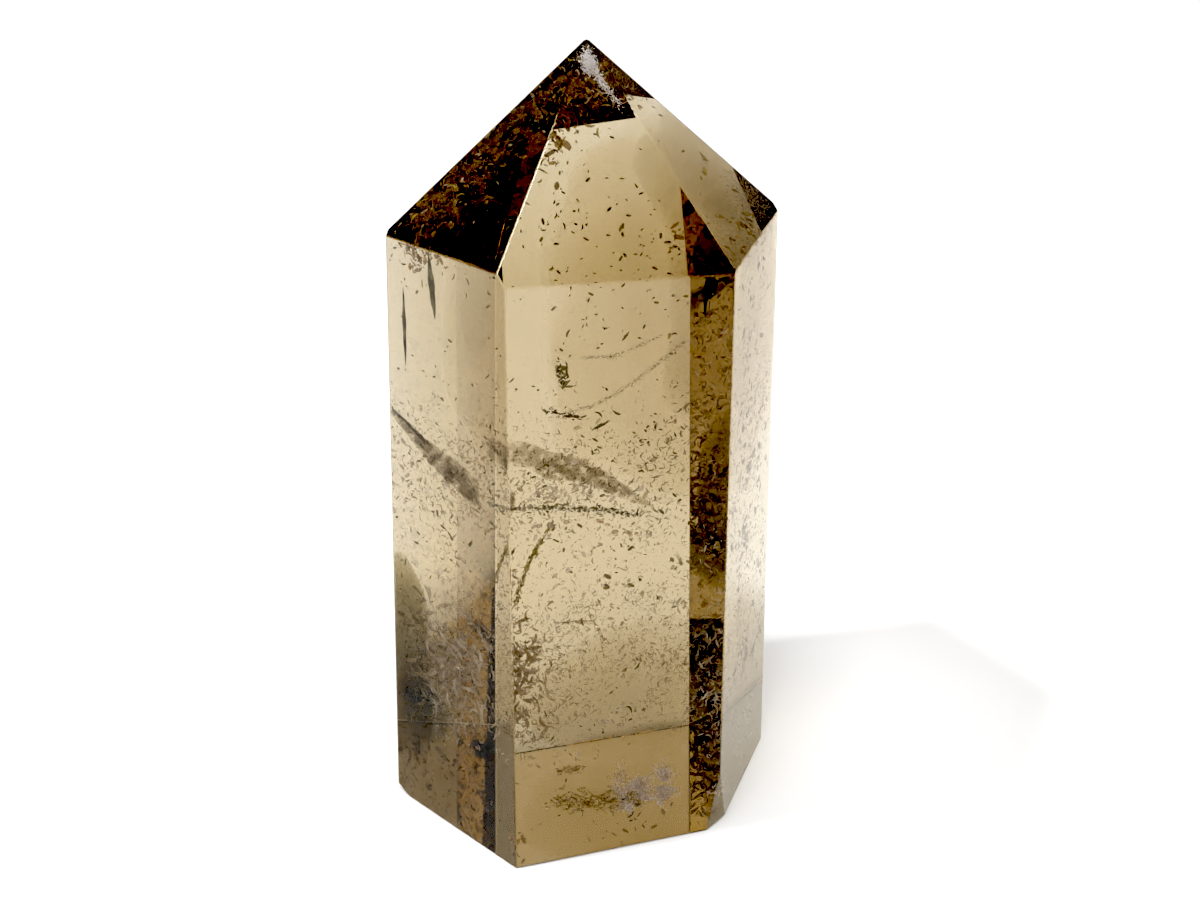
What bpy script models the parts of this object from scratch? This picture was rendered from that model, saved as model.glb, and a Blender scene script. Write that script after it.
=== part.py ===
"""Smoky quartz point: one crystal ground and polished to a six-sided tower.

The tower is a single solid. It is cut from a block with one plane per facet, the way it is
ground on a wheel: six upright sides, six slopes that meet in the tip, the flat foot, and the
foot's two worn corners. Then every sharp arris is rounded a little.

Units are metres, +Z is up, and the foot stands on z = 0. The facets are laid out around the
vertical line through the tip, and the finished stone is moved so that the origin lies under
the middle of its bounding box. The arris between the front and the left side faces -Y.
"""

import math
from dataclasses import dataclass

import bmesh
import bpy
from mathutils import Matrix, Vector

MM = 0.001

OBJECT_NAME = "smoky_quartz_point"
COLLECTION_NAME = "smoky quartz point"

HEIGHT = 76.0 * MM
BLOCK_WIDTH = 64.0 * MM

ARRIS_WIDTH = 0.14 * MM
ARRIS_SEGMENTS = 2

SAME_PLANE = 0.001 * MM
SAME_POINT = 0.002 * MM

SMOKY_BROWN = (0.42, 0.31, 0.17, 1.0)
POLISH_ROUGHNESS = 0.03
QUARTZ_IOR = 1.545


@dataclass(frozen=True)
class Side:
    """An upright facet. Azimuth is the way it faces, turned from -Y towards +X.

    Lean is how far its normal points above the horizontal, so a wall with a positive lean
    comes closer to the axis as it rises. Distance is from the tip's axis, at foot level.
    """

    name: str
    azimuth: float
    lean: float
    distance: float


@dataclass(frozen=True)
class Slope:
    """A facet of the point, through the tip. Steepness is its angle to the foot."""

    name: str
    azimuth: float
    steepness: float


SIDES = (
    Side("front", azimuth=18.5, lean=0.5, distance=17.15 * MM),
    Side("right", azimuth=72.5, lean=-0.4, distance=16.00 * MM),
    Side("back right", azimuth=126.4, lean=-0.1, distance=15.25 * MM),
    Side("back", azimuth=195.5, lean=0.0, distance=16.15 * MM),
    Side("back left", azimuth=252.9, lean=1.3, distance=16.60 * MM),
    Side("left", azimuth=311.6, lean=0.5, distance=19.10 * MM),
)

SLOPES = (
    Slope("front slope", azimuth=22.7, steepness=45.6),
    Slope("right slope", azimuth=72.9, steepness=46.7),
    Slope("back right slope", azimuth=125.6, steepness=47.5),
    Slope("back slope", azimuth=198.6, steepness=49.1),
    Slope("back left slope", azimuth=252.9, steepness=45.8),
    Slope("left slope", azimuth=306.7, steepness=40.0),
)

WORN_CORNERS = (
    Side("worn corner, front right", azimuth=53.7, lean=-6.8, distance=17.50 * MM),
    Side("worn corner, left", azimuth=287.0, lean=-42.0, distance=19.90 * MM),
)


def facing(azimuth, lean):
    """Unit normal for an azimuth and a lean, both in degrees."""
    turn, rise = math.radians(azimuth), math.radians(lean)
    return Vector((math.sin(turn) * math.cos(rise), -math.cos(turn) * math.cos(rise), math.sin(rise)))


def side_plane(side):
    """A point on an upright facet, at foot level, and the facet's normal."""
    outward = facing(side.azimuth, 0.0)
    return outward * side.distance, facing(side.azimuth, side.lean)


def slope_plane(slope):
    """The tip, which every slope passes through, and the slope's normal."""
    return Vector((0.0, 0.0, HEIGHT)), facing(slope.azimuth, 90.0 - slope.steepness)


def grind(bm, point, normal):
    """Remove all that lies beyond a plane and close the cut with one face."""
    cut = bmesh.ops.bisect_plane(
        bm,
        geom=bm.verts[:] + bm.edges[:] + bm.faces[:],
        dist=SAME_PLANE,
        plane_co=point,
        plane_no=normal,
        clear_outer=True,
    )
    rim = [piece for piece in cut["geom_cut"] if isinstance(piece, bmesh.types.BMEdge)]
    bmesh.ops.contextual_create(bm, geom=rim)


def block():
    """The rough block. Its bottom is the flat foot of the finished stone."""
    bm = bmesh.new()
    size = Matrix.Diagonal((BLOCK_WIDTH, BLOCK_WIDTH, HEIGHT * 1.2, 1.0))
    bmesh.ops.create_cube(bm, size=1.0, matrix=Matrix.Translation((0.0, 0.0, HEIGHT * 0.6)) @ size)
    return bm


def round_arrises(bm):
    """Polish the sharp arrises to narrow rounded ones."""
    bmesh.ops.remove_doubles(bm, verts=bm.verts[:], dist=SAME_POINT)
    bmesh.ops.bevel(
        bm,
        geom=bm.edges[:],
        offset=ARRIS_WIDTH,
        offset_type="OFFSET",
        segments=ARRIS_SEGMENTS,
        profile=0.5,
        affect="EDGES",
        clamp_overlap=True,
        material=-1,
    )


def centre_over_origin(bm):
    """Stand the stone on z = 0 with the middle of its bounding box over the origin."""
    xs, ys, zs = zip(*(vert.co for vert in bm.verts))
    shift = Vector((-(min(xs) + max(xs)) / 2, -(min(ys) + max(ys)) / 2, -min(zs)))
    bmesh.ops.translate(bm, verts=bm.verts[:], vec=shift)


def crystal_mesh():
    """The ground and polished stone."""
    bm = block()
    for side in SIDES:
        grind(bm, *side_plane(side))
    for slope in SLOPES:
        grind(bm, *slope_plane(slope))
    for corner in WORN_CORNERS:
        grind(bm, *side_plane(corner))
    round_arrises(bm)
    centre_over_origin(bm)
    bmesh.ops.recalc_face_normals(bm, faces=bm.faces[:])
    mesh = bpy.data.meshes.new(OBJECT_NAME)
    bm.to_mesh(mesh)
    bm.free()
    return mesh


def smoky_quartz():
    """Clear brown quartz with a polished surface."""
    material = bpy.data.materials.new("smoky_quartz")
    material.use_nodes = True
    shader = material.node_tree.nodes["Principled BSDF"]
    shader.inputs["Base Color"].default_value = SMOKY_BROWN
    shader.inputs["Roughness"].default_value = POLISH_ROUGHNESS
    shader.inputs["Metallic"].default_value = 0.0
    shader.inputs["IOR"].default_value = QUARTZ_IOR
    shader.inputs["Transmission Weight"].default_value = 1.0
    material.diffuse_color = SMOKY_BROWN
    return material


def clear_scene():
    """Remove the objects that a new scene starts with."""
    for item in list(bpy.data.objects):
        bpy.data.objects.remove(item, do_unlink=True)


def main():
    """Make the stone and put it in its collection."""
    clear_scene()
    collection = bpy.data.collections.new(COLLECTION_NAME)
    bpy.context.scene.collection.children.link(collection)
    crystal = bpy.data.objects.new(OBJECT_NAME, crystal_mesh())
    crystal.data.materials.append(smoky_quartz())
    collection.objects.link(crystal)


main()
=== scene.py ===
"""Smoky quartz point: the finish of one polished crystal tower.

The tower's outside is cut and polished from a block, facet by facet. What gives the stone its
look lies inside it: smokier zones, two healed grey films, rusty and olive flecks that crowd
under the point and along the right corner, fine threads and a golden crack, two dark channels,
feathery haze at the left foot and a milky patch at the right one. Dark zones at the left foot
and the back foot are painted shade, standing in for the table's shade seen through the stone,
and a pale wedge of flakes under the tip is a painted highlight.

Units are metres, but what lies inside the stone is given in mm. The crystal stands on z = 0, as
its frame does, and azimuths are turned from -Y towards +X, in degrees.
"""

import logging
import math
from collections.abc import Iterable, Iterator
from dataclasses import dataclass, field
from enum import Enum

import bmesh
import bpy
import numpy as np
from bpy.types import Material, NodeSocket, NodeTree, Object
from mathutils import Matrix, Vector, noise


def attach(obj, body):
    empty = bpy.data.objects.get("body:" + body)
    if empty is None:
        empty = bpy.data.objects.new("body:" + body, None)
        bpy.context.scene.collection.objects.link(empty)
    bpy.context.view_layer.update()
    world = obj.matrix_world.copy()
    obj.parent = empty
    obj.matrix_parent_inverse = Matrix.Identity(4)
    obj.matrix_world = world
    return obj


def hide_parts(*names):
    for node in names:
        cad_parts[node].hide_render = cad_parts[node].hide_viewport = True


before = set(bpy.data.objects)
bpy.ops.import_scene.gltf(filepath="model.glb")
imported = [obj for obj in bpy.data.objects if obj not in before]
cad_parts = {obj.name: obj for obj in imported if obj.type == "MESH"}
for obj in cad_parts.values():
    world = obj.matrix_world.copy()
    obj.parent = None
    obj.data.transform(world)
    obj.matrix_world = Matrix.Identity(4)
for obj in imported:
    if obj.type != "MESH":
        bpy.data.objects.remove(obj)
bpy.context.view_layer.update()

LOG = logging.getLogger("smoky_quartz_point")

MM = 0.001
NODE = "smoky_quartz_point"
BODY = "root"
WHITE = (1.0, 1.0, 1.0, 1.0)

BMesh = bmesh.types.BMesh
Triple = tuple[float, float, float]
Line = tuple[Triple, ...]


def facing(azimuth: float, lean: float) -> Vector:
    """A direction as a unit vector.

    Args:
        azimuth: The way it points, in degrees from -Y towards +X.
        lean: How far it points above the horizontal, in degrees.

    Returns:
        The unit vector.
    """
    turn, rise = math.radians(azimuth), math.radians(lean)
    level = math.cos(rise)
    return Vector((math.sin(turn) * level, -math.cos(turn) * level, math.sin(rise)))


def as_object(name: str, bm: BMesh) -> Object:
    """Turn a bmesh into an object at the origin and free it.

    Args:
        name: The object's name.
        bm: Its mesh.

    Returns:
        The object, linked to the scene.
    """
    mesh = bpy.data.meshes.new(name)
    bm.to_mesh(mesh)
    bm.free()
    piece = bpy.data.objects.new(name, mesh)
    bpy.context.scene.collection.objects.link(piece)
    return piece


def dress(piece: Object, material: Material) -> Object:
    """Dress a piece and let it ride with the stone.

    Args:
        piece: The piece.
        material: Its finish.

    Returns:
        The same piece.
    """
    piece.data.materials.append(material)
    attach(piece, BODY)
    return piece


class Recipe:
    """A node tree for one finish, with short calls for the nodes that the finishes share."""

    def __init__(self, name: str) -> None:
        """Start a material with its Principled shader.

        Args:
            name: The material's name.
        """
        self.material = bpy.data.materials.new(name)
        self.material.use_nodes = True
        self.tree = self.material.node_tree
        self.shader = self.tree.nodes["Principled BSDF"]
        self.output = self.tree.nodes["Material Output"]

    def set(self, **values: object) -> None:
        """Set the shader's sockets by name, with _ for a space."""
        for name, value in values.items():
            self.shader.inputs[name.replace("_", " ")].default_value = value

    def link(self, source: NodeSocket, socket: str) -> None:
        """Feed one of the shader's sockets."""
        self.tree.links.new(source, self.shader.inputs[socket])

    def noise(self, scale: float, detail: float) -> NodeSocket:
        """Noise over the piece.

        Args:
            scale: Features to a metre.
            detail: How many finer layers it has.

        Returns:
            The noise, from 0 to 1.
        """
        coordinates = self.tree.nodes.new("ShaderNodeTexCoord")
        node = self.tree.nodes.new("ShaderNodeTexNoise")
        node.inputs["Scale"].default_value = scale
        node.inputs["Detail"].default_value = detail
        self.tree.links.new(coordinates.outputs["Object"], node.inputs["Vector"])
        return node.outputs["Fac"]

    def ramp(self, source: NodeSocket, stops: Iterable[tuple]) -> NodeSocket:
        """Turn a value into a colour.

        Args:
            source: The value.
            stops: Pairs of a place and a colour.

        Returns:
            The colour.
        """
        node = self.tree.nodes.new("ShaderNodeValToRGB")
        self.tree.links.new(source, node.inputs["Fac"])
        elements = node.color_ramp.elements
        stops = list(stops)
        while len(elements) < len(stops):
            elements.new(0.5)
        for element, (place, colour) in zip(elements, stops):
            element.position = place
            element.color = (*colour, 1.0)
        return node.outputs["Color"]

    def bump(self, height: NodeSocket, strength: float, distance: float) -> None:
        """Raise the surface a little by a height.

        Args:
            height: The height, from 0 to 1.
            strength: How much of it shows.
            distance: How far a height of 1 lifts the surface, in metres.
        """
        node = self.tree.nodes.new("ShaderNodeBump")
        node.inputs["Strength"].default_value = strength
        node.inputs["Distance"].default_value = distance
        self.tree.links.new(height, node.inputs["Height"])
        self.link(node.outputs["Normal"], "Normal")

    def absorb(self, losses: Triple, density: float) -> None:
        """Fill the piece with a plain absorption.

        Args:
            losses: Loss per metre for red, green and blue.
            density: The absorption node's density, which no loss is above.
        """
        node = self.tree.nodes.new("ShaderNodeVolumeAbsorption")
        node.inputs["Color"].default_value = (*[1.0 - loss / density for loss in losses], 1.0)
        node.inputs["Density"].default_value = density
        self.tree.links.new(node.outputs["Volume"], self.output.inputs["Volume"])


@dataclass(frozen=True)
class SmokyQuartz:
    """Clear brown quartz, polished with the faintest waves left in it."""

    ior: float = 1.545
    absorbs: Triple = (16.4, 21.7, 33.6)
    density: float = 60.0
    roughness: float = 0.0
    waves: float = 90.0
    wave_detail: float = 2.0
    wave_strength: float = 0.1
    wave_height: float = 0.1 * MM

    def material(self) -> Material:
        """The stone's finish.

        Returns:
            The material.
        """
        recipe = Recipe("smoky_quartz_polished")
        recipe.set(Base_Color=WHITE, Roughness=self.roughness, IOR=self.ior)
        recipe.set(Transmission_Weight=1.0)
        waves = recipe.noise(self.waves, self.wave_detail)
        recipe.bump(waves, self.wave_strength, self.wave_height)
        recipe.absorb(self.absorbs, self.density)
        return recipe.material


@dataclass(frozen=True)
class Smoke:
    """Deeper colour within the stone. It bends no light, it only absorbs."""

    absorbs: Triple
    density: float
    ior: float = 1.0

    def material(self, name: str) -> Material:
        """The colour's finish.

        Args:
            name: The material's name.

        Returns:
            The material.
        """
        recipe = Recipe(name)
        recipe.set(Base_Color=WHITE, Roughness=0.0, IOR=self.ior, Transmission_Weight=1.0)
        recipe.absorb(self.absorbs, self.density)
        return recipe.material


@dataclass(frozen=True)
class Mineral:
    """An inclusion's finish: a mineral colour that wanders between a few tones."""

    name: str
    tones: tuple[Triple, ...]
    cover: float = 1.0
    roughness: float = 0.7
    wander: float = 900.0
    wander_detail: float = 4.0
    tone_range: tuple[float, float] = (0.36, 0.64)

    def material(self) -> Material:
        """The mineral's finish.

        Returns:
            The material.
        """
        recipe = Recipe(self.name)
        recipe.set(Roughness=self.roughness, Alpha=self.cover)
        places = np.linspace(*self.tone_range, len(self.tones)).tolist()
        wander = recipe.noise(self.wander, self.wander_detail)
        recipe.link(recipe.ramp(wander, zip(places, self.tones)), "Base Color")
        return recipe.material


DARK = Mineral("mineral_dark", ((0.05, 0.04, 0.02), (0.13, 0.1, 0.05), (0.24, 0.19, 0.11)), 0.85)
OLIVE = Mineral("mineral_olive", ((0.08, 0.075, 0.03), (0.2, 0.175, 0.08), (0.36, 0.31, 0.15)), 0.7)
GOLD = Mineral("mineral_gold", ((0.3, 0.21, 0.06), (0.46, 0.35, 0.12), (0.6, 0.49, 0.2)), 0.5)
RUST = Mineral("mineral_rust", ((0.2, 0.1, 0.03), (0.4, 0.24, 0.09), (0.56, 0.38, 0.16)), 0.5)
TAN = Mineral("mineral_tan", ((0.34, 0.25, 0.14), (0.54, 0.43, 0.27), (0.7, 0.6, 0.42)), 0.28)
GREY = Mineral("mineral_grey", ((0.2, 0.165, 0.12), (0.34, 0.28, 0.2), (0.5, 0.43, 0.32)), 0.45)
PALE = Mineral("mineral_pale", ((0.66, 0.52, 0.42), (0.8, 0.67, 0.56), (0.92, 0.82, 0.72)), 0.35)
MILK = Mineral("mineral_milk", ((0.84, 0.7, 0.62), (0.92, 0.8, 0.73), (0.97, 0.9, 0.86)), 0.5)
HAZE = Mineral("mineral_haze", ((0.52, 0.42, 0.31), (0.64, 0.53, 0.41), (0.78, 0.67, 0.54)), 0.6)
# Painted highlight: near-white flakes under the tip that stand in for light reflected at the point.
PAINTED_HIGHLIGHT = Mineral("painted_highlight_white", ((0.88, 0.82, 0.8), (0.95, 0.91, 0.9), (0.98, 0.96, 0.97)))


@dataclass(frozen=True)
class TableWhite:
    """The table's pale matt finish."""

    white: float = 0.86
    roughness: float = 0.9

    def material(self) -> Material:
        """The table's finish.

        Returns:
            The material.
        """
        recipe = Recipe("table_white")
        recipe.set(Base_Color=(*[self.white] * 3, 1.0), Roughness=self.roughness)
        recipe.set(Specular_IOR_Level=0.0)
        return recipe.material


@dataclass(frozen=True)
class Facet:
    """One polished plane: a point on it and its outward normal."""

    name: str
    point: Vector
    normal: Vector


def side(name: str, azimuth: float, lean: float, distance: float) -> Facet:
    """An upright facet at a distance, in mm, from the tip's axis at foot level."""
    return Facet(name, facing(azimuth, 0.0) * distance * MM, facing(azimuth, lean))


@dataclass
class CrystalBody:
    """The polished stone: six sides, six slopes that meet in the tip, and worn foot corners.

    The facets are laid out round the tip's axis. The shift, which build() finds, moves them so
    that the stone stands over the origin.
    """

    height: float = 76.0 * MM
    block_width: float = 64.0 * MM
    block_spare: float = 1.2
    arris_width: float = 0.15 * MM
    arris_segments: int = 3
    same_plane: float = 0.001 * MM
    same_point: float = 0.002 * MM
    shift: Vector = field(default_factory=Vector, init=False)

    def sides(self) -> list[Facet]:
        """The upright facets.

        Returns:
            All six.
        """
        return [
            side("front", 18.5, 0.5, 17.15),
            side("right", 72.5, -0.4, 16.00),
            side("back right", 126.4, -0.1, 15.25),
            side("back", 195.5, 0.0, 16.15),
            side("back left", 252.9, 1.3, 16.60),
            side("left", 311.6, 0.5, 19.10),
        ]

    def slopes(self) -> list[Facet]:
        """The facets of the point, which all pass through the tip.

        Returns:
            All six.
        """
        ways = {
            "front slope": (22.7, 45.6),
            "right slope": (72.9, 46.7),
            "back right slope": (125.6, 47.5),
            "back slope": (198.6, 49.1),
            "back left slope": (252.9, 45.8),
            "left slope": (306.7, 40.0),
        }
        tip = Vector((0.0, 0.0, self.height))
        return [
            Facet(name, tip, facing(azimuth, 90.0 - steepness))
            for name, (azimuth, steepness) in ways.items()
        ]

    def worn_corners(self) -> list[Facet]:
        """The small facets where the foot's corners have worn.

        Returns:
            Both of them.
        """
        return [
            side("worn corner, front right", 53.7, -6.8, 17.50),
            side("worn corner, left", 287.0, -42.0, 19.90),
        ]

    def facets(self) -> list[Facet]:
        """Every facet but the foot."""
        return self.sides() + self.slopes() + self.worn_corners()

    def grind(self, bm: BMesh, point: Vector, normal: Vector) -> None:
        """Cut away what lies beyond a plane and close the cut.

        Args:
            bm: The mesh that is cut.
            point: A point on the plane.
            normal: The plane's normal, which points at what goes.
        """
        cut = bmesh.ops.bisect_plane(
            bm,
            geom=bm.verts[:] + bm.edges[:] + bm.faces[:],
            dist=self.same_plane,
            plane_co=point,
            plane_no=normal,
            clear_outer=True,
        )
        rim = [piece for piece in cut["geom_cut"] if isinstance(piece, bmesh.types.BMEdge)]
        bmesh.ops.contextual_create(bm, geom=rim)

    def keep_inside(self, bm: BMesh, under: float) -> None:
        """Cut a mesh down to what lies under the finished stone's surface.

        Args:
            bm: The mesh that is cut.
            under: How far under the surface it has to end, in metres.
        """
        for facet in self.facets():
            self.grind(bm, facet.point + self.shift - facet.normal * under, facet.normal)
        self.grind(bm, Vector((0.0, 0.0, under)), Vector((0.0, 0.0, -1.0)))

    def block(self) -> BMesh:
        """The rough block that the stone is cut from.

        Returns:
            Its mesh, which reaches past the tip.
        """
        bm = bmesh.new()
        tall = self.height * self.block_spare
        size = Matrix.Diagonal((self.block_width, self.block_width, tall, 1.0))
        lift = Matrix.Translation((0.0, 0.0, tall / 2))
        bmesh.ops.create_cube(bm, size=1.0, matrix=lift @ size)
        return bm

    def round_arrises(self, bm: BMesh) -> None:
        """Polish every sharp arris to a narrow round one.

        Args:
            bm: The cut stone.
        """
        bmesh.ops.bevel(
            bm,
            geom=bm.edges[:],
            offset=self.arris_width,
            offset_type="OFFSET",
            segments=self.arris_segments,
            profile=0.5,
            affect="EDGES",
            clamp_overlap=True,
            material=-1,
        )

    def stand(self, bm: BMesh) -> None:
        """Move the stone so that the origin lies under the middle of its bounding box.

        Args:
            bm: The rounded stone.
        """
        xs, ys, zs = zip(*(vert.co for vert in bm.verts))
        self.shift = Vector((-(min(xs) + max(xs)) / 2, -(min(ys) + max(ys)) / 2, -min(zs)))
        bmesh.ops.translate(bm, verts=bm.verts[:], vec=self.shift)

    def build(self) -> Object:
        """Cut the block, round its arrises, stand it over the origin and dress it.

        Returns:
            The stone's object, which stands for the CAD node.
        """
        bm = self.block()
        for facet in self.facets():
            self.grind(bm, facet.point, facet.normal)
        bmesh.ops.remove_doubles(bm, verts=bm.verts[:], dist=self.same_point)
        self.round_arrises(bm)
        self.stand(bm)
        bmesh.ops.recalc_face_normals(bm, faces=bm.faces[:])
        stone = dress(as_object("polished_crystal", bm), SmokyQuartz().material())
        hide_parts(NODE)
        return stone

    def depth(self, points: np.ndarray) -> np.ndarray:
        """How far points lie under the nearest facet.

        Args:
            points: Places in the finished stone's frame, one to a row.

        Returns:
            Metres under the surface, negative outside.
        """
        depths = [points[:, 2]]
        for facet in self.facets():
            normal = np.array(facet.normal)
            depths.append((np.array(facet.point + self.shift) - points) @ normal)
        return np.min(depths, axis=0)


def smooth_range(tree: NodeTree, source: NodeSocket, span: tuple[float, float]) -> NodeSocket:
    """A smooth 0 to 1 as a value passes through a span.

    Args:
        tree: The node tree.
        source: The value.
        span: Where it leaves 0 and where it reaches 1.

    Returns:
        The share.
    """
    node = tree.nodes.new("ShaderNodeMapRange")
    node.interpolation_type = "SMOOTHSTEP"
    node.inputs["From Min"].default_value, node.inputs["From Max"].default_value = span
    tree.links.new(source, node.inputs["Value"])
    return node.outputs["Result"]


def blend(tree: NodeTree, factor: NodeSocket, *ends: float | NodeSocket) -> NodeSocket:
    """Blend two values.

    Args:
        tree: The node tree.
        factor: The second value's share.
        ends: The two values, each a number or a socket.

    Returns:
        The blended value.
    """
    node = tree.nodes.new("ShaderNodeMix")
    node.data_type = "FLOAT"
    tree.links.new(factor, node.inputs["Factor"])
    for name, end in zip(("A", "B"), ends):
        if isinstance(end, float):
            node.inputs[name].default_value = end
        else:
            tree.links.new(end, node.inputs[name])
    return node.outputs["Result"]


@dataclass(frozen=True)
class Patch:
    """A soft round patch of the room: its direction, its reach in degrees and its strength."""

    azimuth: float
    height: float
    full: float
    faded: float
    strength: float

    def share(self, tree: NodeTree, direction: NodeSocket) -> NodeSocket:
        """How much of the patch lies in a direction.

        Args:
            tree: The world's node tree.
            direction: The direction of view.

        Returns:
            From 1 within the patch to 0 past its reach.
        """
        toward = tree.nodes.new("ShaderNodeVectorMath")
        toward.operation = "DOT_PRODUCT"
        toward.inputs[1].default_value = facing(self.azimuth, self.height)
        tree.links.new(direction, toward.inputs[0])
        edge = math.cos(math.radians(self.faded)), math.cos(math.radians(self.full))
        return smooth_range(tree, toward.outputs["Value"], edge)


@dataclass(frozen=True)
class Room:
    """The dim room round the stone, with a bright window side. The camera itself sees white."""

    window: Patch = Patch(318.0, 0.0, 41.4, 72.5, 1.5)
    wall_dark: float = 0.42
    warm_wall: Patch = Patch(176.0, 34.0, 8.9, 15.0, 0.75)
    warm_tint: tuple[float, float, float, float] = (1.0, 0.88, 0.69, 1.0)
    wall_patches: tuple[Patch, ...] = (
        Patch(40.0, 30.0, 25.8, 45.6, 0.6),
        warm_wall,
        Patch(238.0, 33.0, 8.0, 18.0, 0.54),
    )
    ceiling: float = 0.14
    ceiling_edge: tuple[float, float] = (0.6, 0.75)
    high_patches: tuple[Patch, ...] = (
        Patch(86.0, 67.0, 8.1, 10.9, 3.0),
        Patch(332.0, 19.0, 12.3, 13.6, 0.02),
    )
    seen_white: float = 1.0

    def glow(self, tree: NodeTree, direction: NodeSocket) -> NodeSocket:
        """How bright the room is in a direction.

        Args:
            tree: The world's node tree.
            direction: The direction of view.

        Returns:
            The strength of the light.
        """
        upward = tree.nodes.new("ShaderNodeSeparateXYZ")
        tree.links.new(direction, upward.inputs[0])
        overhead = smooth_range(tree, upward.outputs["Z"], self.ceiling_edge)
        windowed = self.window.share(tree, direction)
        glow = blend(tree, windowed, self.wall_dark, self.window.strength)
        for patch in self.wall_patches:
            glow = blend(tree, patch.share(tree, direction), glow, patch.strength)
        glow = blend(tree, overhead, glow, self.ceiling)
        for patch in self.high_patches:
            glow = blend(tree, patch.share(tree, direction), glow, patch.strength)
        return glow

    def tint(self, tree: NodeTree, share: NodeSocket) -> NodeSocket:
        """The colour of the light.

        Args:
            tree: The world's node tree.
            share: How much of the warm wall is seen.

        Returns:
            White, and the warm wall's tint on that wall.
        """
        node = tree.nodes.new("ShaderNodeValToRGB")
        node.color_ramp.elements[0].color = WHITE
        node.color_ramp.elements[1].color = self.warm_tint
        tree.links.new(share, node.inputs["Fac"])
        return node.outputs["Color"]

    def build(self) -> None:
        """Make the world's node tree."""
        world = bpy.data.worlds.new("studio_room")
        bpy.context.scene.world = world
        world.use_nodes = True
        tree = world.node_tree
        tree.nodes.clear()
        direction = tree.nodes.new("ShaderNodeTexCoord").outputs["Generated"]
        seen = tree.nodes.new("ShaderNodeLightPath").outputs["Is Camera Ray"]
        background = tree.nodes.new("ShaderNodeBackground")
        strength = blend(tree, seen, self.glow(tree, direction), self.seen_white)
        tree.links.new(strength, background.inputs["Strength"])
        warm = blend(tree, seen, self.warm_wall.share(tree, direction), 0.0)
        tree.links.new(self.tint(tree, warm), background.inputs["Color"])
        output = tree.nodes.new("ShaderNodeOutputWorld")
        tree.links.new(background.outputs["Background"], output.inputs["Surface"])


@dataclass(frozen=True)
class Table:
    """A flat pale table top, just under the stone."""

    size: float = 6.0
    drop: float = 0.05 * MM
    finish: TableWhite = TableWhite()

    def build(self) -> None:
        """Lay the table top, which is stage and no part of the stone."""
        bm = bmesh.new()
        bmesh.ops.create_grid(bm, x_segments=1, y_segments=1, size=self.size / 2)
        bmesh.ops.translate(bm, verts=bm.verts[:], vec=(0.0, 0.0, -self.drop))
        top = as_object("table_top", bm)
        top.data.materials.append(self.finish.material())


@dataclass(frozen=True)
class Softbox:
    """A square soft box that points at the foot of the stone."""

    name: str
    azimuth: float
    height: float
    size: float
    power: float
    reach: float = 1.0

    def build(self) -> None:
        """Hang the soft box."""
        light = bpy.data.lights.new(self.name, "AREA")
        light.shape = "SQUARE"
        light.size = self.size
        light.energy = self.power
        lamp = bpy.data.objects.new(self.name, light)
        place = facing(self.azimuth, self.height) * self.reach
        lamp.location = place
        lamp.rotation_mode = "QUATERNION"
        lamp.rotation_quaternion = (-place).to_track_quat("-Z", "Y")
        bpy.context.scene.collection.objects.link(lamp)


@dataclass(frozen=True)
class PassedLight:
    """The light that the stone lets through onto the table beside it."""

    place: Triple = (0.029, 0.005, 0.024)
    size: tuple[float, float] = (0.03, 0.05)
    power: float = 0.003

    def build(self) -> None:
        """Hang a small lamp that only lights what is matt."""
        light = bpy.data.lights.new("passed_light", "AREA")
        light.shape = "ELLIPSE"
        light.size, light.size_y = self.size
        light.energy = self.power
        lamp = bpy.data.objects.new("passed_light", light)
        lamp.location = self.place
        lamp.visible_camera = lamp.visible_glossy = lamp.visible_transmission = False
        bpy.context.scene.collection.objects.link(lamp)


@dataclass(frozen=True)
class Viewpoint:
    """The camera. It looks down on the stone along +Y, level but for a slight roll."""

    lens: float = 80.1
    sensor: float = 36.0
    aim: Triple = (1.82 * MM, 1.12 * MM, 34.51 * MM)
    distance: float = 258.64 * MM
    pitch: float = 26.70
    roll: float = -0.353
    clip: tuple[float, float] = (0.01, 50.0)

    def build(self) -> None:
        """Place the camera."""
        pitch, roll = math.radians(self.pitch), math.radians(self.roll)
        ahead = Vector((0.0, math.cos(pitch), -math.sin(pitch)))
        right = Vector((1.0, 0.0, 0.0))
        up = right.cross(ahead)
        across = math.cos(roll) * right + math.sin(roll) * up
        upward = -math.sin(roll) * right + math.cos(roll) * up
        data = bpy.data.cameras.new("camera")
        data.lens = self.lens
        data.sensor_width = self.sensor
        data.clip_start, data.clip_end = self.clip
        camera = bpy.data.objects.new("camera", data)
        turn = Matrix((across, upward, -ahead)).transposed().to_4x4()
        camera.matrix_world = Matrix.Translation(Vector(self.aim) - ahead * self.distance) @ turn
        bpy.context.scene.collection.objects.link(camera)
        bpy.context.scene.camera = camera


@dataclass(frozen=True)
class Studio:
    """The plain pale table, the soft light on it, the dim room round it, and the camera."""

    table: Table = Table()
    softboxes: tuple[Softbox, ...] = (
        Softbox("side_softbox", azimuth=-75.0, height=62.0, size=0.08, power=6.0),
        Softbox("front_softbox", azimuth=-5.0, height=72.0, size=0.34, power=5.6),
    )
    passed_light: PassedLight = PassedLight()
    room: Room = Room()
    viewpoint: Viewpoint = Viewpoint()
    haze_cut: float = 0.10

    def build(self) -> None:
        """Set the table, light it, place the camera and cut the haze out of the darks."""
        for part in (self.table, *self.softboxes, self.passed_light, self.room, self.viewpoint):
            part.build()
        view = bpy.context.scene.view_settings
        view.view_transform = "Standard"
        view.use_curve_mapping = True
        view.curve_mapping.black_level = (self.haze_cut,) * 3
        view.curve_mapping.update()


@dataclass(frozen=True)
class Egg:
    """An egg-shaped part of the stone: its middle and its three radii, in mm."""

    centre: Triple
    radii: Triple


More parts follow.
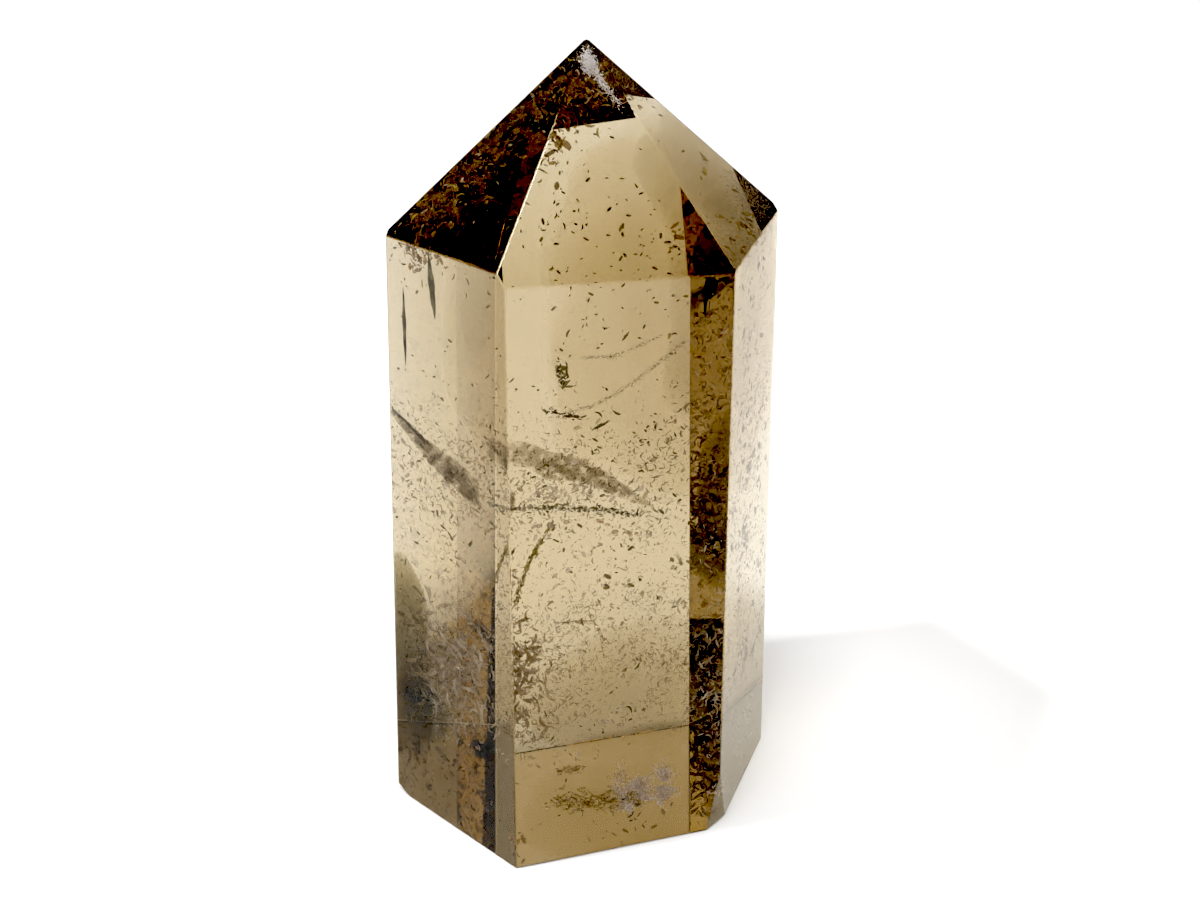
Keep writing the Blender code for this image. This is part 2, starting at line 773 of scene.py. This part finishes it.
@dataclass(frozen=True)
class SmokyZone:
    """A body of deeper colour inside the stone, egg-shaped and a little lumpy.

    What it absorbs is in loss per metre for red, green and blue. The lumps' length and the
    distance under the facets are in mm, and the surface wanders by a share of the radii.
    """

    name: str
    egg: Egg
    absorbs: Triple
    density: float = 200.0
    wander: float = 0.22
    lump: float = 5.0
    under: float = 0.4
    fineness: int = 4

    def build(self, body: CrystalBody) -> Object:
        """Shape the zone, cut it off under the facets and dress it.

        Args:
            body: The stone that holds it.

        Returns:
            The zone's object.
        """
        middle = Vector(self.egg.centre) * MM
        matrix = Matrix.Translation(middle) @ Matrix.Diagonal((*self.egg.radii, 1.0))
        bm = bmesh.new()
        bmesh.ops.create_icosphere(bm, subdivisions=self.fineness, radius=MM, matrix=matrix)
        for vert in bm.verts:
            swell = 1.0 + self.wander * noise.noise(vert.co / (self.lump * MM))
            vert.co = middle + (vert.co - middle) * swell
        body.keep_inside(bm, self.under * MM)
        material = Smoke(self.absorbs, self.density).material(self.name)
        return dress(as_object(self.name, bm), material)


@dataclass(frozen=True)
class Film:
    """A thin smoky sheet that healed inside the stone, wavy and thicker in some streaks.

    It follows a line, stands upright and reaches above and below the line. Lengths are in mm,
    and what it absorbs is in loss per metre for red, green and blue. Streaks and ripples are
    waves to a mm. The shares of its thickness are the least, the plain and the streaked one.
    """

    name: str
    line: Line
    heights: tuple[float, ...]
    thickness: float
    absorbs: Triple
    seed: float
    density: float = 1500.0
    streaks: float = 1.3
    streak_offset: float = 7.0
    streak_kind: tuple[float, float, int] = (0.6, 2.2, 4)
    shares: Triple = (0.06, 0.55, 0.9)
    ripples: float = 0.45
    ripple_lift: float = 0.5
    end_taper: float = 0.5
    least_edge: float = 0.05
    under: float = 0.3
    fineness: int = 6

    def place(self, along: float, up: float, through: float) -> Vector:
        """Where a point of the unit ball goes.

        Args:
            along: From -1 at the line's start to 1 at its end.
            up: From -1 at the lower rim to 1 at the upper one.
            through: From -1 to 1 through the sheet.

        Returns:
            The place in metres.
        """
        step = (along + 1.0) / 2.0 * (len(self.line) - 1)
        first = min(int(step), len(self.line) - 2)
        part = step - first
        start, end = Vector(self.line[first]), Vector(self.line[first + 1])
        height = self.heights[first] * (1.0 - part) + self.heights[first + 1] * part
        outward = (end - start).cross(Vector((0.0, 0.0, 1.0))).normalized()
        spot = start.lerp(end, part)
        ripple = noise.noise(Vector((spot.x * self.ripples, spot.y * self.ripples, self.seed)))
        spot.z += (up + self.ripple_lift * ripple) * height
        streak_place = spot.x * self.streaks, spot.z * self.streaks, self.seed + self.streak_offset
        streak = noise.fractal(Vector(streak_place), *self.streak_kind)
        least, plain, streaked = self.shares
        depth = self.thickness * max(least, plain + streaked * streak)
        return (spot + outward * (through * depth + ripple)) * MM

    def build(self, body: CrystalBody) -> Object:
        """Press a ball flat, lay it along the line, keep it under the facets and dress it.

        Args:
            body: The stone that holds it.

        Returns:
            The film's object.
        """
        bm = bmesh.new()
        bmesh.ops.create_icosphere(bm, subdivisions=self.fineness, radius=1.0)
        for vert in bm.verts:
            edge = math.sqrt(max(1.0 - vert.co.x**2, 0.0))
            up = vert.co.y / max(edge, self.least_edge) * edge**self.end_taper
            vert.co = self.place(vert.co.x, up, vert.co.z)
        body.keep_inside(bm, self.under * MM)
        material = Smoke(self.absorbs, self.density).material(self.name)
        return dress(as_object(self.name, bm), material)


class Grain(Enum):
    """The small solids that the inclusions are made of."""

    CURL = "curl"
    FLAKE = "flake"
    CHIP = "chip"
    MOTE = "mote"


STRETCH = {
    Grain.FLAKE: (1.0, 0.6, 0.14),
    Grain.CHIP: (1.0, 0.45, 0.35),
    Grain.MOTE: (1.0, 0.5, 0.25),
}


@dataclass(frozen=True)
class Curl:
    """A bent thread about one unit long, thin at both ends."""

    radius: float = 0.55
    sweep: float = math.radians(105.0)
    half_width: float = 0.1
    steps: int = 4
    end_share: float = 0.3
    swell: float = 0.9

    def build(self, bm: BMesh) -> None:
        """Spin a small triangle through an arc and thin it towards both ends.

        Args:
            bm: The mesh that takes the thread.
        """
        upright = Matrix.Translation((self.radius, 0.0, 0.0)) @ Matrix.Rotation(math.pi / 2, 4, "X")
        thin = self.half_width
        bmesh.ops.create_circle(bm, cap_ends=True, segments=3, radius=thin, matrix=upright)
        bmesh.ops.spin(
            bm,
            geom=bm.faces[:] + bm.edges[:] + bm.verts[:],
            cent=(0.0, 0.0, 0.0),
            axis=(0.0, 0.0, 1.0),
            dvec=(0.0, 0.0, 0.0),
            angle=self.sweep,
            steps=self.steps,
        )
        for vert in bm.verts:
            along = min(max(math.atan2(vert.co.y, vert.co.x) / self.sweep, 0.0), 1.0)
            centre = Vector((vert.co.x, vert.co.y, 0.0)).normalized() * self.radius
            share = self.end_share + self.swell * math.sin(math.pi * along)
            vert.co = centre + (vert.co - centre) * share


def grain_shape(grain: Grain) -> tuple[np.ndarray, np.ndarray]:
    """Model one grain, about one unit long.

    Args:
        grain: Which shape.

    Returns:
        Its points and its triangles.
    """
    bm = bmesh.new()
    if grain is Grain.CURL:
        Curl().build(bm)
    else:
        flat = Matrix.Diagonal((*STRETCH[grain], 1.0))
        if grain is Grain.MOTE:
            bmesh.ops.create_uvsphere(bm, u_segments=4, v_segments=2, radius=0.5, matrix=flat)
        else:
            bmesh.ops.create_icosphere(bm, subdivisions=1, radius=0.5, matrix=flat)
    bmesh.ops.triangulate(bm, faces=bm.faces[:])
    bmesh.ops.recalc_face_normals(bm, faces=bm.faces[:])
    bm.verts.index_update()
    points = np.array([vert.co for vert in bm.verts])
    triangles = np.array([[vert.index for vert in face.verts] for face in bm.faces])
    bm.free()
    return points - points.mean(axis=0), triangles


def random_turns(rng: np.random.Generator, count: int) -> np.ndarray:
    """As many rotations as the count, 3 by 3, that point every way."""
    return aligned_turns(rng, rng.normal(size=(count, 3)))


def aligned_turns(rng: np.random.Generator, along: np.ndarray) -> np.ndarray:
    """Rotations that lay each grain's length along a direction, rolled at random.

    Args:
        rng: The random numbers.
        along: A direction for each grain.

    Returns:
        One 3 by 3 matrix for each.
    """
    x = along / np.linalg.norm(along, axis=1, keepdims=True)
    y = np.cross(rng.normal(size=x.shape), x)
    y /= np.linalg.norm(y, axis=1, keepdims=True)
    return np.stack([x, y, np.cross(x, y)], axis=2)


@dataclass
class Swarm:
    """Many grains of one mineral, most of them small.

    Their sizes are in mm. The margin is how far under the facets they lie: a length in mm and
    a share of the largest grain. The higher the bias, the fewer of them are large.
    """

    name: str
    grain: Grain
    mineral: Mineral
    count: int
    size: tuple[float, float]
    seed: int = field(kw_only=True)
    slim: float = field(default=0.9, kw_only=True)
    margin: tuple[float, float] = field(default=(0.2, 0.5), kw_only=True)
    bias: float = field(default=2.0, kw_only=True)

    def sunk(self, body: CrystalBody, places: np.ndarray) -> np.ndarray:
        """Which of the grains' centres, in metres, lie deep enough in the stone."""
        bare, share = self.margin
        return body.depth(places) > (bare + share * self.size[1]) * MM

    def sizes(self, rng: np.random.Generator, count: int) -> np.ndarray:
        """Draw the grains' sizes.

        Args:
            rng: The random numbers.
            count: How many.

        Returns:
            Each one's length and two widths, in metres.
        """
        low, high = self.size
        lengths = low + (high - low) * rng.random(count) ** self.bias
        return np.stack([lengths, lengths * self.slim, lengths * self.slim], -1) * MM

    def lay(self, places: np.ndarray, turns: np.ndarray, sizes: np.ndarray) -> Object:
        """Copy the grain to every place as one mesh, and dress it.

        Args:
            places: Centres in metres, one to a row.
            turns: A rotation for each.
            sizes: Each one's length and two widths, in metres.

        Returns:
            The joined grains.
        """
        points, triangles = grain_shape(self.grain)
        copies = np.einsum("nij,nkj->nki", turns, points[None] * sizes[:, None])
        copies += places[:, None]
        faces = triangles[None] + (np.arange(len(places)) * len(points))[:, None, None]
        mesh = bpy.data.meshes.new(self.name)
        mesh.from_pydata(copies.reshape(-1, 3).tolist(), [], faces.reshape(-1, 3).tolist())
        piece = bpy.data.objects.new(self.name, mesh)
        bpy.context.scene.collection.objects.link(piece)
        return dress(piece, self.mineral.material())


@dataclass(kw_only=True)
class Cloud(Swarm):
    """Grains in an egg-shaped part of the stone, gathered around hubs as streaky swarms.

    The hubs' reach is in mm. Without hubs the grains thin out evenly from the middle. More
    places are drawn than are needed, because some of them lie outside the stone.
    """

    egg: Egg
    hubs: int = 0
    reach: float = 2.0
    streak: Triple = (1.0, 0.55, 0.25)
    evenly: float = 0.5
    spare_draws: int = 5
    margin: tuple[float, float] = (0.25, 0.6)
    bias: float = 2.2

    def places(self, rng: np.random.Generator, count: int) -> np.ndarray:
        """Draw the grains' centres.

        Args:
            rng: The random numbers.
            count: How many.

        Returns:
            The centres in mm, one to a row.
        """
        centre, radii = np.array(self.egg.centre), np.array(self.egg.radii)
        if not self.hubs:
            return centre + rng.normal(size=(count, 3)) * self.evenly * radii
        hubs = centre + rng.uniform(-1.0, 1.0, (self.hubs, 3)) * radii
        turns = random_turns(rng, self.hubs)
        which = rng.integers(0, self.hubs, count)
        streak = rng.normal(size=(count, 3)) * np.array(self.streak) * self.reach
        return hubs[which] + np.einsum("nij,nj->ni", turns[which], streak)

    def build(self, body: CrystalBody) -> Object:
        """Scatter the grains and keep them under the facets.

        Args:
            body: The stone that holds them.

        Returns:
            The joined grains, dressed.
        """
        rng = np.random.default_rng(self.seed)
        places = self.places(rng, self.count * self.spare_draws) * MM
        places = places[self.sunk(body, places)][: self.count]
        turns = random_turns(rng, len(places))
        return self.lay(places, turns, self.sizes(rng, len(places)))


@dataclass(kw_only=True)
class Trail(Swarm):
    """Grains along a bent line inside the stone, lying lengthwise.

    Lengths are in mm. The more they stray, the less they keep to the line's direction.
    """

    line: Line
    spread: Triple
    stray: float = 0.3

    def build(self, body: CrystalBody) -> Object:
        """Lay the grains along the line and keep them under the facets.

        Args:
            body: The stone that holds them.

        Returns:
            The joined grains, dressed.
        """
        rng = np.random.default_rng(self.seed)
        line = np.array(self.line)
        steps = np.diff(line, axis=0)
        lengths = np.linalg.norm(steps, axis=1)
        which = rng.choice(len(steps), self.count, p=lengths / lengths.sum())
        places = line[which] + steps[which] * rng.random((self.count, 1))
        places = (places + rng.normal(size=places.shape) * np.array(self.spread)) * MM
        along = steps[which] / lengths[which, None]
        along += rng.normal(size=places.shape) * self.stray
        sizes = self.sizes(rng, self.count)
        turns = aligned_turns(rng, along)
        inside = self.sunk(body, places)
        return self.lay(places[inside], turns[inside], sizes[inside])


@dataclass
class Splinter:
    """One long dark crystal or channel, thickest in the middle. Its ends and widths are in mm."""

    name: str
    start: Triple
    end: Triple
    width: float
    thickness: float
    mineral: Mineral
    taper: float = 0.35
    knots: float = 0.18
    knot_waves: tuple[float, float] = (9.0, 3.0)

    def build(self) -> Object:
        """Stretch a ball between the two ends, pinch it and roughen it a little.

        Returns:
            The splinter's object, dressed.
        """
        start, end = Vector(self.start) * MM, Vector(self.end) * MM
        turn = (end - start).to_track_quat("Z", "Y").to_matrix()
        up, over = self.knot_waves
        bm = bmesh.new()
        bmesh.ops.create_uvsphere(bm, u_segments=10, v_segments=16, radius=1.0)
        for vert in bm.verts:
            x, y, z = vert.co
            pinch = (1.0 - abs(z)) ** self.taper * (1.0 + self.knots * math.sin(up * z + over * x))
            across = Vector((x * self.width, y * self.thickness, 0.0)) * 0.5 * MM * pinch
            along = Vector((0.0, 0.0, z * (end - start).length / 2))
            vert.co = (start + end) / 2 + turn @ (across + along)
        return dress(as_object(self.name, bm), self.mineral.material())


WHOLE_STONE = Egg((0.0, 0.0, 37.0), (18.0, 19.0, 37.0))


def smoke() -> list[SmokyZone]:
    """The deeper brown on the right, and painted shade at the left foot and at the back foot.

    Returns:
        The zones.
    """
    return [
        SmokyZone("smoky_zone_wide", Egg((7.8, 2.5, 48.0), (13.5, 14.5, 16.5)), (8.5, 11.5, 17.0)),
        SmokyZone("smoky_zone_core", Egg((11.8, 1.5, 48.5), (5.8, 9.5, 10.0)), (14.0, 16.0, 20.0)),
        # Painted shade: these two strongly absorbing zones at the left foot stand in for the
        # table's contact shade seen through the stone.
        SmokyZone(
            "left_foot_painted_shade", Egg((-16.4, -3.4, 14.8), (4.0, 5.6, 12.2)), (120.0, 135.0, 200.0)
        ),
        SmokyZone(
            "left_foot_painted_shade_spot", Egg((-14.0, -4.6, 10.0), (3.4, 4.0, 3.3)), (150.0, 150.0, 200.0)
        ),
        # Painted shade: this brown zone at the back foot stands in for the table's shade behind the
        # stone, seen through it.
        SmokyZone("back_foot_painted_shade", Egg((3.0, 11.5, 7.0), (13.0, 5.5, 8.0)), (16.0, 21.0, 34.0)),
        SmokyZone("smoky_zone_point", Egg((9.4, 2.5, 61.5), (5.2, 5.4, 7.0)), (24.0, 27.0, 33.0)),
    ]


def films() -> list[Film]:
    """The grey film that crosses the left side and the front.

    Returns:
        Its two halves.
    """
    left_outer = ((-16.9, -3.6, 41.6), (-14.6, -4.6, 40.3), (-11.6, -7.0, 38.5))
    left = (*left_outer, (-8.5, -9.9, 37.3), (-7.4, -11.0, 36.9))
    front_left = ((-7.3, -13.6, 43.0), (-3.8, -13.2, 41.4), (-0.6, -12.1, 40.0))
    front = (*front_left, (2.2, -11.2, 38.1), (6.3, -9.9, 35.0))
    return [
        Film("film_left", left, (0.45, 0.75, 1.3, 1.7, 1.7), 1.3, (760.0, 830.0, 960.0), seed=0.0),
        Film("film_front", front, (1.7, 1.6, 1.3, 1.1, 0.4), 1.2, (620.0, 680.0, 790.0), seed=3.0),
    ]


def strewn_flecks() -> list[Cloud]:
    """The flecks all through the stone, thicker in its lower half.

    Returns:
        The clouds.
    """
    low = Egg((0.0, 0.0, 24.0), (18.0, 19.0, 16.0))
    return [
        Cloud("flecks_dark", Grain.CURL, DARK, 110, (0.3, 1.2), seed=3,
              egg=WHOLE_STONE, hubs=60, reach=3.0),
        Cloud("chips_olive", Grain.CHIP, OLIVE, 230, (0.25, 0.8), seed=4,
              egg=WHOLE_STONE, hubs=60, reach=3.2),
        Cloud("flecks_rust", Grain.CHIP, RUST, 220, (0.2, 0.8), slim=0.8, seed=5,
              egg=low, hubs=60, reach=3.0),
        Cloud("flecks_tan", Grain.CURL, TAN, 2600, (0.2, 0.8), seed=6,
              egg=low, hubs=140, reach=3.0),
        Cloud("flecks_pale", Grain.FLAKE, PALE, 1500, (0.25, 1.0), seed=7,
              egg=low, hubs=110, reach=2.4),
        Cloud("dust_brown", Grain.MOTE, TAN, 7000, (0.06, 0.22), slim=0.8, seed=8,
              egg=WHOLE_STONE, hubs=200, reach=3.0),
        Cloud("band_grey", Grain.CURL, GREY, 600, (0.25, 1.0), seed=9,
              egg=Egg((2.0, -3.0, 34.0), (16.0, 14.0, 7.0)), hubs=60, reach=2.4),
        Cloud("band_olive", Grain.FLAKE, OLIVE, 120, (0.3, 1.0), slim=0.8, seed=10,
              egg=Egg((2.0, -3.0, 33.0), (16.0, 14.0, 8.0)), hubs=40, reach=2.4),
        Cloud("front_low", Grain.CURL, TAN, 2200, (0.2, 0.8), seed=18,
              egg=Egg((3.0, -6.0, 18.0), (9.0, 8.0, 7.0)), hubs=60, reach=2.0),
    ]


def tip_flecks() -> list[Trail | Cloud]:
    """The crowded flecks under the point, most of them on the left.

    Returns:
        The trails and the dots.
    """
    left_low = ((-13.2, -3.2, 58.0), (-10.0, -2.2, 60.6), (-6.8, -0.4, 64.0))
    left = (*left_low, (-3.6, 1.6, 67.4), (-1.4, 2.2, 70.2))
    top = ((0.6, 0.6, 69.6), (2.2, 0.8, 70.4))
    corner = ((15.2, 3.8, 57.6), (13.4, 3.9, 59.4))
    crest = ((1.4, 2.4, 72.0), (3.8, 3.4, 69.6))
    return [
        Trail("tip_rust", Grain.FLAKE, RUST, 620, (0.3, 1.6), slim=1.0, seed=11,
              line=left, spread=(1.5, 1.2, 1.7), stray=9.0),
        Trail("tip_gold", Grain.CURL, GOLD, 260, (0.3, 1.4), slim=1.1, seed=12,
              line=left, spread=(1.5, 1.2, 1.7), stray=9.0),
        Trail("tip_haze", Grain.CHIP, HAZE, 260, (0.2, 1.0), seed=51,
              line=left, spread=(1.6, 1.2, 1.8), stray=9.0),
        Trail("tip_pink", Grain.CURL, HAZE, 60, (0.3, 1.2), slim=1.1, seed=14,
              line=top, spread=(1.4, 1.0, 1.0), stray=9.0),
        Trail("tip_amber", Grain.FLAKE, RUST, 80, (0.3, 1.2), slim=1.1, seed=19,
              line=top, spread=(1.5, 1.0, 1.1), stray=9.0),
        Trail("tip_corner", Grain.MOTE, HAZE, 2600, (0.1, 0.36), seed=52,
              line=corner, spread=(1.4, 1.4, 1.6), stray=9.0),
        Trail("tip_crest", Grain.MOTE, GOLD, 1500, (0.1, 0.32), seed=53,
              line=crest, spread=(0.9, 1.1, 0.9), stray=9.0),
        Cloud("tip_dots", Grain.CHIP, OLIVE, 80, (0.3, 0.9), seed=13,
              egg=Egg((3.0, -5.0, 58.0), (9.0, 6.0, 8.0))),
    ]


def right_corner_flecks() -> list[Cloud]:
    """Rusty and olive blotches along the right corner, with pale streaks low down.

    Returns:
        The clouds.
    """
    corner = Egg((12.5, -1.0, 38.0), (3.4, 6.0, 28.0))
    low = Egg((11.2, -2.0, 15.0), (3.0, 5.0, 7.0))
    return [
        Cloud("corner_rust", Grain.FLAKE, RUST, 230, (0.4, 1.5), seed=15,
              egg=corner, hubs=40, reach=1.5),
        Cloud("corner_gold", Grain.FLAKE, GOLD, 260, (0.4, 1.6), seed=16,
              egg=corner, hubs=40, reach=1.5),
        Cloud("corner_pale", Grain.CURL, PALE, 100, (0.5, 1.8), slim=0.8, seed=17,
              egg=low, hubs=20, reach=1.3),
        Cloud("corner_grey", Grain.CURL, MILK, 560, (0.3, 1.2), seed=20,
              egg=Egg((14.0, -3.0, 26.0), (3.5, 7.0, 26.0)), hubs=50, reach=2.0),
    ]


def foot_haze() -> list[Cloud]:
    """The feathery haze low on the left, and the milky patch low on the right.

    Returns:
        The clouds.
    """
    return [
        Cloud("feathers", Grain.CURL, HAZE, 420, (0.8, 2.8), seed=21,
              egg=Egg((-11.4, -6.4, 16.0), (6.5, 5.5, 7.5))),
        Cloud("feathers_fine", Grain.CURL, HAZE, 700, (0.3, 1.2), slim=0.8, seed=22,
              egg=Egg((-11.0, -7.6, 16.5), (6.0, 5.5, 7.5)), hubs=60, reach=1.8),
        Cloud("feather_shadow", Grain.FLAKE, OLIVE, 60, (0.4, 1.4), slim=0.7, seed=23,
              egg=Egg((-12.8, -4.2, 16.0), (4.0, 4.0, 4.5)), hubs=30, reach=1.2),
        Cloud("milky_patch", Grain.CHIP, MILK, 2600, (0.12, 0.5), slim=0.8, seed=24,
              egg=Egg((5.6, -13.2, 5.6), (2.8, 0.8, 2.6)), hubs=14, reach=0.75),
    ]


def trails() -> list[Trail]:
    """Cracks, lines of flecks that have a place of their own, and a painted highlight under the
    tip.

    Returns:
        The trails.
    """
    rim = ((-16.9, -3.6, 42.0), (-14.8, -4.5, 41.0), (-12.6, -5.9, 39.6))
    under_film = ((-5.4, -13.7, 38.4), (-2.0, -12.7, 38.2), (1.6, -11.5, 37.6), (4.5, -10.6, 37.0))
    film_foot = ((-7.0, -14.3, 37.3), (-2.5, -12.8, 36.5), (2.1, -11.3, 35.4), (5.0, -10.4, 34.4))
    arc_left = ((-1.9, -12.4, 45.9), (1.2, -11.5, 46.5), (4.2, -10.6, 48.0))
    arc_low = (*arc_left, (7.0, -9.7, 50.0), (9.0, -8.9, 51.4))
    arc_high = ((-0.4, -12.0, 51.2), (2.6, -11.2, 50.9), (6.9, -9.9, 52.4))
    crack = ((-3.1, -13.1, 35.3), (-5.2, -13.6, 31.8), (-6.6, -13.2, 28.4), (-6.9, -12.6, 26.2))
    hook = ((-2.6, -13.2, 24.6), (0.5, -12.2, 24.2), (1.3, -12.0, 22.6), (1.4, -12.0, 21.0))
    streaks = ((-3.0, -13.8, 5.2), (1.0, -12.6, 4.2), (5.0, -11.6, 3.6))
    cluster = ((-2.2, -12.5, 51.0), (-2.0, -12.5, 48.6))
    blotch = ((-3.6, -13.0, 46.5), (-0.6, -12.1, 45.3))
    oval = ((-3.0, -14.2, 8.6), (-0.6, -13.6, 8.6))
    spot_left = ((-6.4, -17.5, 2.8), (-5.9, -17.4, 2.2))
    spot_right = ((11.7, -11.5, 1.6), (12.6, -11.1, 1.3))
    sheen = ((1.0, 0.4, 74.2), (2.2, -1.4, 72.6), (4.2, -2.9, 70.7))
    cap = ((0.9, 0.5, 75.0), (1.1, -0.7, 73.4))
    return [
        Trail("film_rim", Grain.MOTE, DARK, 420, (0.15, 0.5), slim=0.6, seed=31,
              line=rim, spread=(0.12, 0.12, 0.12), stray=0.2),
        Trail("film_glint", Grain.FLAKE, PALE, 160, (0.2, 0.9), seed=32,
              line=under_film, spread=(0.9, 0.5, 0.55), stray=0.8),
        Trail("film_foot", Grain.CHIP, OLIVE, 130, (0.15, 0.7), seed=33,
              line=film_foot, spread=(0.25, 0.25, 0.2), stray=0.8),
        Trail("film_thread", Grain.MOTE, GREY, 700, (0.1, 0.4), slim=0.6, seed=46,
              line=film_foot, spread=(0.12, 0.12, 0.12)),
        Trail("arc_low", Grain.MOTE, GREY, 700, (0.1, 0.35), slim=0.5, seed=34,
              line=arc_low, spread=(0.16, 0.16, 0.12)),
        Trail("arc_high", Grain.MOTE, GREY, 300, (0.1, 0.35), slim=0.5, seed=35,
              line=arc_high, spread=(0.14, 0.14, 0.1)),
        Trail("crack", Grain.FLAKE, GOLD, 260, (0.25, 0.7), slim=0.7, seed=36,
              line=crack, spread=(0.12, 0.12, 0.12)),
        Trail("hook", Grain.MOTE, RUST, 220, (0.15, 0.5), slim=0.5, seed=37,
              line=hook, spread=(0.1, 0.1, 0.1), stray=0.4),
        Trail("green_cluster", Grain.CHIP, OLIVE, 60, (0.2, 0.9), slim=0.8, seed=38,
              line=cluster, spread=(0.4, 0.3, 0.3), stray=1.5),
        Trail("dark_blotch", Grain.CHIP, DARK, 46, (0.2, 0.9), slim=0.7, seed=39,
              line=blotch, spread=(0.2, 0.2, 0.15), stray=0.6),
        Trail("foot_streaks", Grain.CURL, RUST, 260, (0.3, 1.1), slim=0.8, seed=40,
              line=streaks, spread=(0.8, 0.4, 0.55)),
        Trail("foot_streaks_gold", Grain.CURL, GOLD, 260, (0.3, 1.1), slim=0.8, seed=41,
              line=streaks, spread=(0.9, 0.4, 0.6)),
        Trail("foot_oval", Grain.CHIP, RUST, 90, (0.2, 0.6), slim=0.7, seed=42,
              line=oval, spread=(0.3, 0.3, 0.22), stray=0.4),
        Trail("rust_spot_left", Grain.CHIP, RUST, 60, (0.2, 0.5), slim=0.8, seed=43,
              line=spot_left, spread=(0.25, 0.2, 0.25), stray=1.0),
        Trail("rust_spot_right", Grain.CHIP, RUST, 70, (0.2, 0.5), slim=0.8, seed=44,
              line=spot_right, spread=(0.3, 0.3, 0.25), stray=1.0),
        # Painted highlight: a pale wedge of flakes under the tip in place of the light reflected
        # there.
        Trail("tip_painted_highlight_cap", Grain.FLAKE, PAINTED_HIGHLIGHT, 1500, (0.1, 0.3), slim=0.8, seed=54,
              line=cap, spread=(0.4, 0.25, 0.35), stray=0.4),
        Trail("tip_painted_highlight_sheen", Grain.FLAKE, PAINTED_HIGHLIGHT, 1300, (0.1, 0.32), slim=0.8, seed=45,
              line=sheen, spread=(0.2, 0.16, 0.24), stray=0.4),
    ]


def splinters() -> list[Splinter]:
    """The two dark channels at the upper left and a few bars.

    Returns:
        The splinters.
    """
    return [
        Splinter("channel_left", (-15.2, -6.2, 55.3), (-15.3, -6.4, 47.3), 0.5, 0.3, DARK),
        Splinter("channel_right", (-12.7, -9.2, 59.9), (-12.2, -9.7, 53.4), 1.5, 0.5, OLIVE),
        Splinter("bar_low", (0.4, -11.8, 43.9), (2.2, -11.2, 44.6), 0.45, 0.3, OLIVE),
        Splinter("bar_high", (3.2, -10.8, 52.2), (3.9, -10.5, 53.1), 0.35, 0.25, OLIVE),
    ]


def inclusions(body: CrystalBody) -> Iterator[Object]:
    """Build everything that grew or healed inside the stone.

    Args:
        body: The stone, already built.

    Returns:
        The pieces in turn.
    """
    for colour in (*smoke(), *films()):
        yield colour.build(body)
    for group in (strewn_flecks(), tip_flecks(), right_corner_flecks(), foot_haze(), trails()):
        for swarm in group:
            yield swarm.build(body)
    for splinter in splinters():
        yield splinter.build()


def report(piece: Object) -> None:
    """Log a finished piece's name and how many faces it has."""
    LOG.info("%s: %d faces", piece.name, len(piece.data.polygons))


def main() -> None:
    """Set the studio, build the stone and what lies inside it, and report each piece."""
    logging.basicConfig(level=logging.INFO, format="%(name)s: %(message)s")
    Studio().build()
    body = CrystalBody()
    report(body.build())
    for piece in inclusions(body):
        report(piece)


if __name__ == "__main__":
    main()
